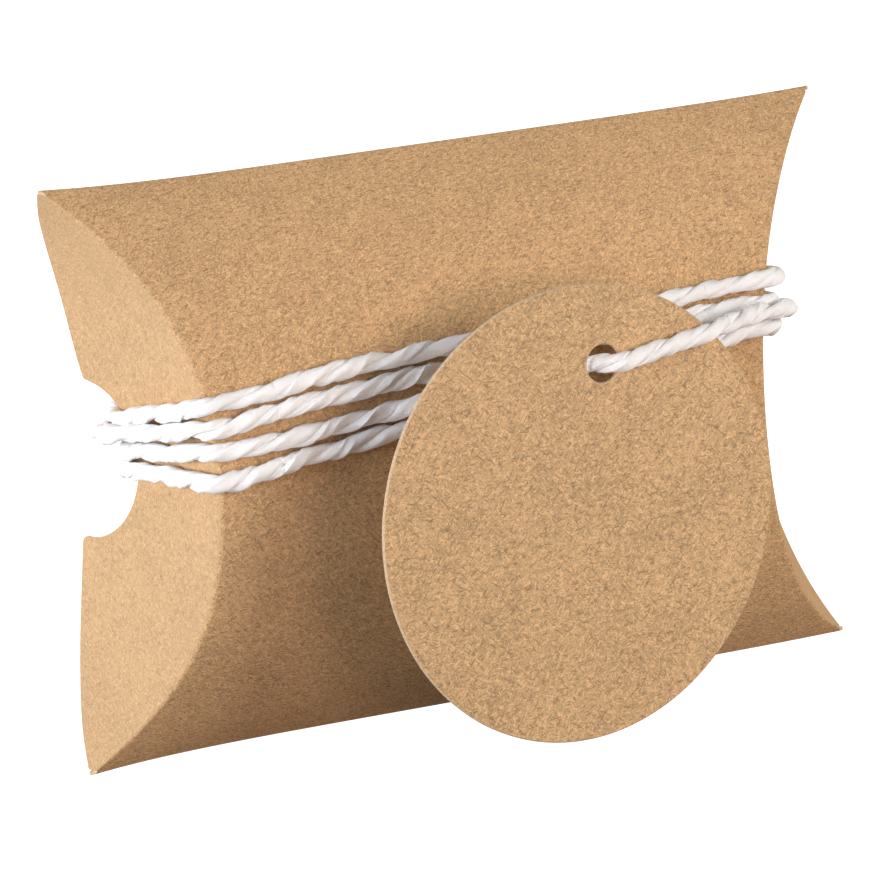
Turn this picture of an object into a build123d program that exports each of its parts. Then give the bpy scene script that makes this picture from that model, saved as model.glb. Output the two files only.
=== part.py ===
"""Pillow box of folded card, wound with twine that carries a round tag.

The box stands on its long bottom fold. The origin is the middle of that fold, +X runs along
the box, -Y is the front, +Z is up. All lengths are millimetres and all angles are degrees.
"""
import os
from math import atan2, cos, degrees, dist, pi, radians, sin, sqrt, tan

from build123d import *

# Box body
box_length = 92.8
box_height = 65.0
box_depth = 25.8
card = 0.45
fold_angle = 48.0
crown_angle = 10.5
crease_draw_share = 1.05

# Outer flaps, which close over the inner ones
flap_reach = 8.0
flap_lean = 17.5
flap_corner_angle = 44.0
flap_crown_angle = 5.0
flap_tip = 0.6
notch_radius = 9.55
notch_rise = 0.8
notch_lip_radius = 1.5

# Inner flaps
inner_reach = 8.9
inner_lean = 5.0
corner_relief = 2.8

# Glued seam inside the top fold
tab_width = 12.0
tab_end_setback = 18.0
glue = 0.1

# Round tag, placed by its hole
tag_diameter = 51.0
tag_card = 0.5
tag_hole_diameter = 4.3
tag_hole_inset = 8.76
tag_hole_x = 9.7
tag_hole_height = 41.9
tag_standoff = 8.5
tag_yaw = 9.8
tag_pitch = 1.2
tag_roll = 14.6

# Twine, the spacing of its strands and the clearances and bends that it keeps
cord_diameter = 2.3
cord_pitch = 2.9
right_pitch = 3.12
right_rim_pitch = 3.5
stack_lift = 2.6
cord_gap = 0.35
corner_gap = 0.5
rim_gap = 0.85
corner_bend = 3.0
rim_bend = 4.0
hole_entry_bend = 3.0
hole_exit_bend = 2.6
hole_entry_depth = 2.1
hole_shift = 0.1
hole_slant = 32.0
tag_edge_share = 0.6
return_lean = 27.0

# Heights of the top strand from the middle of the box, at each crease and notch rim
left_top_lane = 8.9
right_top_lane = 15.3
left_rim_top_lane = 6.4
right_rim_top_lane = 12.2
left_back_top_lane = 6.5
right_back_top_lane = 10.5

# Half knot that ties the two ends on the back
knot_radius = 2.0
knot_step = 3.0
knot_lane = -7.2

overrun = 40.0
half_length = box_length / 2
half_height = box_height / 2
half_depth = box_depth / 2
cord_radius = cord_diameter / 2
rest = cord_radius + cord_gap


def tangent_arc_radii(half_span, rise, end_angle, crown):
    """Crown and end radii of three tangent arcs over a span of twice half_span."""
    s_end, c_end = sin(radians(end_angle)), cos(radians(end_angle))
    s_crown, c_crown = sin(radians(crown)), cos(radians(crown))
    span_part, rise_part = s_end - s_crown, c_crown - c_end
    determinant = s_crown * rise_part - span_part * (1 - c_crown)
    crown_radius = (half_span * rise_part - span_part * rise) / determinant
    end_radius = (s_crown * rise - (1 - c_crown) * half_span) / determinant
    return crown_radius, end_radius


def tangent_arc_points(half_span, rise, end_angle, crown, inset):
    """Seven points, two to each arc and shared ends, of the arcs set inward by inset."""
    crown_radius, end_radius = tangent_arc_radii(half_span, rise, end_angle, crown)
    end_centre = (half_span - end_radius * sin(radians(end_angle)), -end_radius * cos(radians(end_angle)))
    crown_centre = (0, rise - crown_radius)
    end_inner = end_radius - inset
    start = degrees(atan2(sqrt(end_inner**2 - end_centre[1] ** 2), -end_centre[1]))
    half = []
    for radius, centre, angle in (
        (end_inner, end_centre, start),
        (end_inner, end_centre, (start + crown) / 2),
        (end_inner, end_centre, crown),
        (crown_radius - inset, crown_centre, 0),
    ):
        half.append((centre[0] + radius * sin(radians(angle)), centre[1] + radius * cos(radians(angle))))
    other_half = [(-along, out) for along, out in reversed(half[:3])]
    return half + other_half


def add_tangent_arcs(points):
    """Draw the three arcs through seven points in the open line builder."""
    for first in (0, 2, 4):
        ThreePointArc(points[first], points[first + 1], points[first + 2])


def bow_points(inset, side):
    """Points (y, z) of a panel's bowed section, side -1 at the front and 1 at the back."""
    arcs = tangent_arc_points(half_height, half_depth, fold_angle, crown_angle, inset)
    return [(side * out, half_height + along) for along, out in arcs]


def bow_depth(height):
    """Depth of the panel's outer face from the middle plane, at a height from the middle."""
    crown_radius, end_radius = tangent_arc_radii(half_height, half_depth, fold_angle, crown_angle)
    if abs(height) <= crown_radius * sin(radians(crown_angle)):
        return half_depth - crown_radius + sqrt(crown_radius**2 - height**2)
    along = end_radius * sin(radians(fold_angle)) - half_height + abs(height)
    return sqrt(end_radius**2 - along**2) - end_radius * cos(radians(fold_angle))


def crease_plane(end, side):
    """Plane of the curved crease at an end (-1 left, 1 right) of a panel (-1 front, 1 back)."""
    return Plane(origin=(end * half_length, 0, 0), z_dir=(end, side * crease_draw_share, 0))


def bow_section(side, outer_inset, inner_inset=None):
    """Section of a panel's bow down to the middle plane, or of a band between two insets."""
    cuts = [(outer_inset, Mode.ADD)]
    if inner_inset is not None:
        cuts.append((inner_inset, Mode.SUBTRACT))
    with BuildSketch(Plane.YZ) as section:
        for inset, mode in cuts:
            points = bow_points(inset, side)
            with BuildLine():
                add_tangent_arcs(points)
                Line(points[-1], points[0])
            make_face(mode=mode)
    return section.sketch


def flap_direction(side, lean):
    """Direction that the right end's flap runs from its crease, towards the other panel."""
    return Vector(sin(radians(lean)), -side * cos(radians(lean)), 0)


def outward(side, lean):
    """Direction square to the right end's flap, away from the box."""
    return Vector(cos(radians(lean)), side * sin(radians(lean)), 0)


def crease_lens(side):
    """Face on the right end's crease plane between the curved crease and its chord."""
    with BuildPart() as lens:
        extrude(bow_section(side, 0), amount=half_length, both=True)
        split(bisect_by=crease_plane(1, side), keep=Keep.BOTTOM)
    return lens.faces().filter_by(crease_plane(1, side)).sort_by(Axis.X)[-1]


def drawn_out(face, direction):
    """Prism of a face drawn out past the part in a direction."""
    with BuildPart() as prism:
        extrude(face, amount=overrun, dir=direction)
    return prism.part


def mitre(side, lean):
    """Prism that cuts a panel's right end to half the fold between it and its flap."""
    return drawn_out(crease_lens(side), flap_direction(side, lean) - Vector(1, 0, 0))


# Front panel, a bowed card mitred at its curved creases
with BuildPart() as front_panel:
    extrude(bow_section(-1, 0, card), amount=half_length, both=True)
    split(bisect_by=crease_plane(1, -1), keep=Keep.BOTTOM)
    split(bisect_by=crease_plane(-1, -1), keep=Keep.BOTTOM)
    add(mitre(-1, flap_lean), mode=Mode.SUBTRACT)
    mirror(mitre(-1, flap_lean), about=Plane.YZ, mode=Mode.SUBTRACT)

# Back panel, which meets the front one on the long folds
with BuildPart() as back_panel:
    extrude(bow_section(1, 0, card), amount=half_length, both=True)
    split(bisect_by=crease_plane(1, 1), keep=Keep.BOTTOM)
    split(bisect_by=crease_plane(-1, 1), keep=Keep.BOTTOM)
    add(mitre(1, -inner_lean), mode=Mode.SUBTRACT)
    mirror(mitre(1, -inner_lean), about=Plane.YZ, mode=Mode.SUBTRACT)

# Glue film and tab, a strip of the front card turned in behind the top of the back panel
tab_half_length = half_length - tab_end_setback
tab_foot = Plane.XY.offset(box_height - tab_width)

with BuildPart() as glue_line:
    extrude(bow_section(1, card, card + glue), amount=tab_half_length, both=True)
    split(bisect_by=tab_foot, keep=Keep.TOP)

with BuildPart() as glue_tab:
    extrude(bow_section(1, card + glue, 2 * card + glue), amount=tab_half_length, both=True)
    split(bisect_by=tab_foot, keep=Keep.TOP)


outer_edge = tangent_arc_points(half_height, flap_reach - flap_tip, flap_corner_angle, flap_crown_angle, 0)
inner_half_height = half_height - corner_relief
inner_edge = tangent_arc_points(
    inner_half_height, inner_reach - flap_tip, flap_corner_angle, flap_crown_angle, 0
)


def flap_outline(edge, notch):
    """Outline of a flap seen square to it: x runs out from the chord between its corners."""
    points = [(out + flap_tip, half_height + along) for along, out in edge]
    with BuildSketch() as outline:
        with BuildLine():
            add_tangent_arcs(points)
            Polyline(points[-1], (-overrun, points[-1][1]), (-overrun, points[0][1]), points[0])
        make_face()
        if notch:
            middle = half_height + notch_rise
            with Locations((flap_reach, middle)):
                Circle(notch_radius, mode=Mode.SUBTRACT)
            reach = notch_radius + notch_lip_radius
            lips = outline.vertices().filter_by_position(Axis.Y, middle - reach, middle + reach)
            fillet(lips.sort_by(Axis.X)[-2:], notch_lip_radius)
    return outline.sketch


def flap_plane(side, lean):
    """Plane square to the right end's flap, its x out along the flap and its y up."""
    along = flap_direction(side, lean)
    return Plane(origin=(half_length, 0, 0), x_dir=along, z_dir=along.cross(Vector(0, 0, 1)))


def flap_card(side, lean):
    """Sheet of card drawn out from the right end's curved crease, dished like the crease."""
    air = drawn_out(crease_lens(side), flap_direction(side, lean))
    with BuildPart() as sheet:
        add(air.moved(Location((-card / cos(radians(lean)), 0, 0))))
        add(air, mode=Mode.SUBTRACT)
    return sheet.part


# Right outer flap, with its thumb notch
with BuildPart() as right_outer_flap:
    add(flap_card(-1, flap_lean))
    extrude(
        flap_plane(-1, flap_lean) * flap_outline(outer_edge, True),
        amount=overrun,
        both=True,
        mode=Mode.INTERSECT,
    )
    add([front_panel.part, back_panel.part], mode=Mode.SUBTRACT)

# Right inner flap, tucked in behind it
with BuildPart() as right_inner_flap:
    add(flap_card(1, -inner_lean))
    extrude(
        flap_plane(1, -inner_lean) * flap_outline(inner_edge, False),
        amount=overrun,
        both=True,
        mode=Mode.INTERSECT,
    )
    add([front_panel.part, back_panel.part], mode=Mode.SUBTRACT)

with BuildPart() as left_outer_flap:
    mirror(right_outer_flap.part, about=Plane.YZ)

with BuildPart() as left_inner_flap:
    mirror(right_inner_flap.part, about=Plane.YZ)

# Round tag, placed by the middle of its hole
tag_axis = Vector(cos(radians(tag_yaw)), sin(radians(tag_yaw)), 0)
tag_front = Vector(
    sin(radians(tag_yaw)) * cos(radians(tag_pitch)),
    -cos(radians(tag_yaw)) * cos(radians(tag_pitch)),
    sin(radians(tag_pitch)),
)
tag_hole_depth = bow_depth(tag_hole_height - half_height) + tag_standoff
tag_hole = Vector(tag_hole_x, -tag_hole_depth, tag_hole_height)
tag_hang = tag_diameter / 2 - tag_hole_inset

with BuildPart() as round_tag:
    with BuildSketch(Plane(origin=tag_hole, x_dir=tag_axis, z_dir=tag_front)):
        with Locations((-tag_hang * sin(radians(tag_roll)), -tag_hang * cos(radians(tag_roll)))):
            Circle(tag_diameter / 2)
        Circle(tag_hole_diameter / 2, mode=Mode.SUBTRACT)
    extrude(amount=tag_card / 2, both=True)


def panel_point(side, x, lane, lift=0):
    """Point of the twine's centre line where it lies on a panel, lifted off other strands."""
    return Vector(x, side * (bow_depth(lane) + rest + lift), half_height + lane)


def corner_point(end, side, lane, lean, lift=0):
    """Corner of the twine's line round a crease, clear of the panel and of the flap."""
    depth = bow_depth(lane)
    crease = Vector(half_length - crease_draw_share * depth, side * depth, half_height + lane)
    away = (Vector(0, side, 0) + outward(side, lean)) / (1 + sin(radians(lean)))
    corner = crease + away * (rest + corner_gap + lift)
    return Vector(end * corner.X, corner.Y, corner.Z)


def rim_point(end, lane, lift=0, stack=0):
    """Corner of the twine's line over the notch's rim, or the flap's edge beyond the notch.

    A stacked strand follows the strand below it, which lies higher up the flap by stack.
    """
    depth = bow_depth(lane)
    lean = radians(flap_lean)
    height = abs(lane + stack - notch_rise) + cord_radius
    reach = flap_reach - sqrt(max(notch_radius**2 - height**2, 0))
    run = reach + depth * (crease_draw_share * sin(lean) + cos(lean))
    crease = Vector(half_length - crease_draw_share * depth, -depth, half_height + lane)
    clear = rest + rim_gap
    edge = crease + flap_direction(-1, flap_lean) * run + outward(-1, flap_lean) * clear
    behind = corner_point(1, 1, lane, return_lean)
    half_turn = (lean + atan2(edge.X - behind.X, behind.Y - edge.Y)) / 2
    advance = (rim_bend + lift) * tan(half_turn)
    advance -= sqrt((rim_bend - rest) ** 2 - (rim_bend - clear) ** 2)
    rim = edge + flap_direction(-1, flap_lean) * advance + outward(-1, flap_lean) * lift
    return Vector(end * rim.X, rim.Y, rim.Z)


def lane(top, turn, pitch=cord_pitch):
    """Height of a strand from the middle, counted in turns down from the top strand."""
    return top - turn * pitch


def left_end(turn):
    """Corners round the left end, from the back to the front."""
    return [
        (corner_point(-1, 1, lane(left_back_top_lane, turn), return_lean), corner_bend),
        (rim_point(-1, lane(left_rim_top_lane, turn)), rim_bend),
        (corner_point(-1, -1, lane(left_top_lane, turn), flap_lean), corner_bend),
    ]


def right_end(turn, lift=0, stack=0):
    """Corners round the right end, from the front to the back, lifted where a strand is stacked."""
    return [
        (corner_point(1, -1, lane(right_top_lane, turn, right_pitch), flap_lean, lift), corner_bend),
        (rim_point(1, lane(right_rim_top_lane, turn, right_rim_pitch), lift, stack), rim_bend),
        (corner_point(1, 1, lane(right_back_top_lane, turn), return_lean, lift), corner_bend),
    ]


def knot_points(steps, phase):
    """Quarter turns of one end of the half knot, which winds round the other end."""
    points = []
    for step in steps:
        angle = radians(90 * step + phase)
        depth = bow_depth(knot_lane) + rest + knot_radius * (1 + cos(angle))
        height = half_height + knot_lane - knot_radius * sin(angle)
        points.append((Vector((step - 2) * knot_step, depth, height), None))
    return points


def through_hole():
    """Points that take the twine up through the tag's hole and along its face to its edge."""
    slant = tag_axis * sin(radians(hole_slant)) + tag_front * cos(radians(hole_slant))
    middle = tag_hole - tag_axis * hole_shift
    rise = (tag_card / 2 + rest) / cos(radians(hole_slant))
    leave = middle + slant * rise
    across = tag_axis * (tag_edge_share * tag_diameter / 2) + Vector(0, 0, cord_radius)
    return [
        (middle - slant * hole_entry_depth, hole_entry_bend),
        (leave, hole_exit_bend),
        (leave + across, None),
    ]


def along_back(*places):
    """Points on the back panel, each a place along it, a height and a lift."""
    return [(panel_point(1, *place), None) for place in places]


# Centre line of the twine: a first end, four turns from the back round the left end, the third
# through the tag, and a last end, with the two ends tied in a half knot on the back
first_tail = along_back((19.0, -16.0, 0.3), (15.0, -13.6, 0.6), (10.5, -10.3, 2.2))
first_cross = along_back((-9.5, -4.4, 3.95), (-18.0, 6.9, 4.2), (-24.0, 8.3, 0.3))
last_tail = along_back((-10.5, -9.8, 0), (-15.0, -13.2, 0.2), (-19.0, -15.4, 0.3))
route = (
    first_tail
    + knot_points((4, 3, 2, 1, 0), 0)
    + first_cross
    + left_end(0)
    + [(panel_point(-1, 0, 12.75), None)]
    + right_end(0)
    + left_end(1)
    + [(panel_point(-1, 0, 9.95), None)]
    + right_end(1)
    + left_end(2)
    + [(panel_point(-1, -9.0, 6.1, 1.3), None)]
    + through_hole()
    + right_end(1.5, stack_lift, right_rim_pitch / 2)
    + along_back((23.0, 3.8, 2.1))
    + left_end(3)
    + [(panel_point(-1, 0, 4.5), None)]
    + right_end(2)
    + along_back((24.0, 0.3, 0.2), (14.0, -5.2, 0.2))
    + knot_points((4, 3, 2, 1, 0), 180)
    + last_tail
)


def bend_radius(before, corner, after, limit):
    """Largest radius that the two runs of a corner leave room for, up to its limit."""
    arriving, leaving = corner - before, after - corner
    shorter = min(arriving.length, leaving.length)
    largest = 0.45 * shorter / tan(radians(arriving.get_angle(leaving) / 2))
    return largest if limit is None else min(limit, largest)


points = [point for point, limit in route]
radii = [
    bend_radius(points[at - 1], points[at], points[at + 1], route[at][1])
    for at in range(1, len(points) - 1)
]

with BuildPart() as cord_winding:
    with BuildLine() as twine:
        FilletPolyline(*points, radius=radii)
    with BuildSketch(Plane(origin=twine.wire() @ 0, z_dir=twine.wire() % 0)):
        Circle(cord_radius)
    sweep(path=twine.wire())


def least_gap(wire, step):
    """Least gap between strands, from points along the line far enough apart along it."""
    count = int(wire.length / step)
    samples = [tuple(wire.position_at(at / count)) for at in range(count + 1)]
    apart = int(2.5 * cord_diameter / step)
    pairs = ((i, j) for i in range(count + 1) for j in range(i + apart, count + 1))
    return min(dist(samples[i], samples[j]) for i, j in pairs) - cord_diameter


length = twine.wire().length
section_volume = pi * cord_radius**2 * length
print(f"twine length {length:.1f} mm, radii {min(radii):.1f} to {max(radii):.1f} mm")
print(f"tightest bends {[round(radius, 1) for radius in sorted(radii)[:8]]}")
print(f"least gap between strands {least_gap(twine.wire(), cord_radius / 2):.2f} mm")
print(f"twine volume {cord_winding.part.volume:.0f}, section times length {section_volume:.0f}")

pieces = {
    "front_panel": front_panel,
    "back_panel": back_panel,
    "glue_line": glue_line,
    "glue_tab": glue_tab,
    "left_outer_flap": left_outer_flap,
    "right_outer_flap": right_outer_flap,
    "left_inner_flap": left_inner_flap,
    "right_inner_flap": right_inner_flap,
    "round_tag": round_tag,
    "cord_winding": cord_winding,
}
os.makedirs("parts", exist_ok=True)
for name, piece in pieces.items():
    piece.part.label = name
    export_step(piece.part, f"parts/{name}.step")
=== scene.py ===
"""Pillow box of kraft card, wound with white paper twine that carries a blank round tag."""

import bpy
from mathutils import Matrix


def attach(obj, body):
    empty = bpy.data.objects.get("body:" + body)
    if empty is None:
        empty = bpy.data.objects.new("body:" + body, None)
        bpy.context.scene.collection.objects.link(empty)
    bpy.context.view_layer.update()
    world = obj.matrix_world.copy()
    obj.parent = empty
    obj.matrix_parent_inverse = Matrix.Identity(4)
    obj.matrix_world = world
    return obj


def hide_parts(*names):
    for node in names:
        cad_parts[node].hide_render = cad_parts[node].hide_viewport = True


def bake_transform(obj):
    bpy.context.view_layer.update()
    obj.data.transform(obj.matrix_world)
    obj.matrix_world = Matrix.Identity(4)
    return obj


bl_info = {
    "name": "Kraft pillow box",
    "version": (1, 0, 0),
    "blender": (4, 5, 0),
    "location": "View3D > Sidebar > Pillow Box",
    "description": "Bowed card box with tucked flaps, paper twine and a round tag",
    "category": "Add Mesh",
}

from math import atan2, cos, pi, radians, sin, sqrt, tan

import bpy
import numpy as np
from bpy.props import FloatProperty, FloatVectorProperty, IntProperty, PointerProperty
from mathutils import Matrix, Vector

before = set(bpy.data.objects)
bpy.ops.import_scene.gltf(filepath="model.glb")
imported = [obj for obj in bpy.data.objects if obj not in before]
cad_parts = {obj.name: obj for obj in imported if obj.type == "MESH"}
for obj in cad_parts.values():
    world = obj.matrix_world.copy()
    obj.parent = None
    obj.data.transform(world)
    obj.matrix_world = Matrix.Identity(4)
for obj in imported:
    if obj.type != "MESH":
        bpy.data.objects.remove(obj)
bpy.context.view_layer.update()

MM = 0.001

# How fast the outer flap's free edge swells from its corners, and its dips beside the notch
UPPER_SWELL, LOWER_SWELL = 5.7, 3.8
UPPER_LIP_DIP, LOWER_LIP_DIP = 0.95 * MM, 0.2 * MM
DIP_POWER = 8

# How far the notch's upper lip is pressed down
UPPER_LIP_DROP = 0.95 * MM

# How fast the inner flap's free edge swells from its corners
INNER_SWELL = 2.6

# How far each corner (side, level) springs up and along the box, as shares of the corner flare
CORNER_RISE_SHARES = {(-1, 1): 1.5, (-1, -1): -2.0, (1, 1): 0.7, (1, -1): 0.5}
CORNER_SLIDE_SHARES = {(-1, 1): -0.7, (-1, -1): 0.35, (1, 1): 0.2, (1, -1): 2.1}
CORNER_POWER = 5

# Counts of steps in the card's meshes
BOW_STEPS, FOLD_STEPS = 96, 10
CREASE_STEPS, STRAIGHT_STEPS = 7, 30
EDGE_STEPS, LIP_STEPS, OUTER_FLAP_STEPS = 72, 12, 26
INNER_EDGE_STEPS, INNER_FLAP_STEPS = 96, 18
TAG_STEPS, TAG_RINGS = 160, 26

# Share of the outer flap's crease points that are evenly spaced and not level with its edge
EVEN_SHARE = 0.55

# The tag's dishing: its depth, its waves for each metre and where they start
WARP_DEPTH, WARP_ACROSS, WARP_UP, WARP_START = 0.10 * MM, 60, 75, 0.7

# Edges that turn less than the first two are shaded smooth, and the tag's rim turns more than the third
CARD_SMOOTH_ANGLE, TWINE_SMOOTH_ANGLE, RIM_ANGLE = radians(40), radians(48), radians(60)


def length_property(name, description, millimetres):
    """A length that the sidebar shows with its unit."""
    return FloatProperty(
        name=name, description=description, default=millimetres * MM, unit="LENGTH", precision=5
    )


def angle_property(name, description, turn):
    """An angle that the sidebar shows in degrees."""
    return FloatProperty(name=name, description=description, default=radians(turn), subtype="ANGLE")


def colour_property(name, description, colour):
    """A linear colour."""
    return FloatVectorProperty(
        name=name, description=description, default=colour, size=3, min=0, max=1, subtype="COLOR"
    )


class PillowBoxSizes(bpy.types.PropertyGroup):
    """Sizes of the folded card box."""

    length: length_property("Length", "Length between the corners of the long folds", 92.8)
    height: length_property("Height", "Height between the two long folds", 65.0)
    depth: length_property("Depth", "Depth between the crowns of the two bowed faces", 25.8)
    card: length_property("Card", "Thickness of the card", 0.45)
    fold_angle: angle_property("Fold angle", "Slope of each bowed face at the long folds", 48)
    crown_angle: angle_property("Crown angle", "Half turn of the flat middle arc of a bowed face", 10.5)
    crease_draw: FloatProperty(
        name="Crease draw",
        description="How far a curved crease draws in, for each length of bow",
        default=1.05,
        subtype="FACTOR",
    )
    crease_radius: length_property("Crease radius", "Outer radius of the pressed creases", 0.85)
    crease_fade: length_property("Crease fade", "Bow depth under which a crease flattens out", 5.0)
    fold_radius: length_property("Fold radius", "Outer radius of the long folds", 0.75)
    upper_reach: length_property("Upper reach", "Reach of the flap's upper edge past the chord", 7.95)
    lower_reach: length_property("Lower reach", "Reach of the flap's lower edge past the chord", 8.6)
    flap_tip: length_property("Flap tip", "Reach of the outer flap at its corners", 0.3)
    corner_gap: length_property("Corner gap", "Distance from the flap's end to the long fold", 0.75)
    upper_lean: angle_property("Upper lean", "Lean of the outer flaps at the top", 16)
    left_lower_lean: angle_property("Left lower lean", "Lean of the left flap at the bottom", 19)
    right_lower_lean: angle_property("Right lower lean", "Lean of the right flap at the bottom", 22)
    notch_radius: length_property("Notch radius", "Radius of the thumb notch", 9.56)
    notch_reach: length_property("Notch reach", "Reach of the notch's middle past the chord", 7.7)
    notch_rise: length_property("Notch rise", "Height of the notch's middle above the box's middle", 0.79)
    upper_lip: length_property("Upper lip", "Rounding of the notch's upper lip", 0.7)
    lower_lip: length_property("Lower lip", "Rounding of the notch's lower lip", 0.8)
    inner_reach: length_property("Inner reach", "Reach of the inner flap past the corner chord", 8.9)
    inner_lean: angle_property("Inner lean", "Lean of the inner flap into the box", 5)
    corner_relief: length_property("Corner relief", "Trim of the inner flap at each corner", 2.8)
    corner_flare: length_property("Corner flare", "How far the card's corners spring out", 0.55)


class TagSizes(bpy.types.PropertyGroup):
    """Sizes and place of the round tag."""

    diameter: length_property("Diameter", "Diameter of the tag", 51.0)
    card: length_property("Card", "Thickness of the tag", 0.5)
    hole: length_property("Hole", "Diameter of the punched hole", 4.3)
    # The rim bevel is the tag's cut edge, which is really paler than its face; part of that paleness is a
    # painted highlight along the rim.
    rim_highlight: length_property("Rim highlight", "Width of the pale worn line round the tag's rim", 0.13)
    hole_inset: length_property("Hole inset", "Distance of the hole's middle from the rim", 8.76)
    hole_x: length_property("Hole X", "Place of the hole along the box", 9.7)
    hole_y: length_property("Hole Y", "Place of the hole in front of the box", -20.877)
    hole_z: length_property("Hole Z", "Height of the hole", 41.9)
    yaw: angle_property("Yaw", "Turn of the tag about the upright", 9.8)
    pitch: angle_property("Pitch", "Tip of the tag's face upwards", 1.2)
    roll: angle_property("Roll", "Turn of the tag in its own plane", 14.6)


class TwineSizes(bpy.types.PropertyGroup):
    """Sizes of the twisted paper twine."""

    ply_width: length_property("Ply width", "Width of one flattened ply", 1.8)
    ply_thickness: length_property("Ply thickness", "Thickness of one flattened ply", 1.3)
    ply_offset: length_property("Ply offset", "Distance of a ply's middle from the twine's line", 0.38)
    twist: length_property("Twist", "Length of one full twist", 10.5)
    step: length_property("Step", "Length between the rings of the mesh", 0.42)
    sides: IntProperty(name="Sides", description="Points round one ply", default=14, min=8, max=32)


class BoxFinishes(bpy.types.PropertyGroup):
    """Colours of the card and the twine."""

    kraft: colour_property("Kraft", "Main colour of the card", (0.555, 0.342, 0.168))
    tag_kraft: colour_property("Tag kraft", "Main colour of the tag", (0.580, 0.374, 0.194))
    cut_edge: colour_property("Cut edge", "Colour of the card's cut edges", (0.690, 0.490, 0.300))
    tag_edge: colour_property("Tag cut edge", "Colour of the tag's cut and worn rim", (0.60, 0.425, 0.255))
    # The tag's cut edge colour is partly the card's own paler cut edge and partly a painted highlight
    # along the tag's rim.
    twine: colour_property("Twine", "Colour of the paper twine", (0.93, 0.905, 0.880))
    glue: colour_property("Glue", "Colour of the dried glue", (0.76, 0.72, 0.62))


def deselect():
    """Clear the selection, so that an operator acts on the new piece alone."""
    for chosen in list(bpy.context.selected_objects):
        chosen.select_set(False)


def pick(piece):
    """Select one piece alone and make it active."""
    deselect()
    piece.select_set(True)
    bpy.context.view_layer.objects.active = piece


def ease(share):
    """A share from 0 to 1 that starts and ends gently."""
    return share * share * (3 - 2 * share)


def shaped_grid(name, columns):
    """A new grid whose points are placed by columns of coordinates."""
    deselect()
    across, up = len(columns), len(columns[0])
    bpy.ops.mesh.primitive_grid_add(x_subdivisions=up - 1, y_subdivisions=across - 1, size=1)
    sheet = bpy.context.active_object
    sheet.name = sheet.data.name = name
    places = np.array([point for column in columns for point in column], dtype=np.float32)
    sheet.data.vertices.foreach_set("co", places.ravel())
    sheet.data.update()
    return sheet


def apply_modifiers(piece):
    """Apply the piece's modifiers in order."""
    pick(piece)
    for modifier in list(piece.modifiers):
        bpy.ops.object.modifier_apply(modifier=modifier.name)


def merge_doubles(piece, reach=0.01 * MM):
    """Join the points that meet at a seam."""
    pick(piece)
    bpy.ops.object.mode_set(mode="EDIT")
    bpy.ops.mesh.select_all(action="SELECT")
    bpy.ops.mesh.remove_doubles(threshold=reach)
    bpy.ops.object.mode_set(mode="OBJECT")


def thicken(piece, thickness, offset):
    """Give a sheet its card thickness, with its cut edges in the second material."""
    solid = piece.modifiers.new("Card thickness", "SOLIDIFY")
    solid.thickness = thickness
    solid.offset = offset
    solid.use_even_offset = True
    solid.material_offset_rim = 1
    apply_modifiers(piece)
    bpy.ops.object.shade_smooth_by_angle(angle=CARD_SMOOTH_ANGLE)


def paper(piece, faces, edges):
    """Put the face and cut edge materials on a sheet before it gets its thickness."""
    piece.data.materials.append(material_named(faces))
    piece.data.materials.append(material_named(edges))


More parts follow.
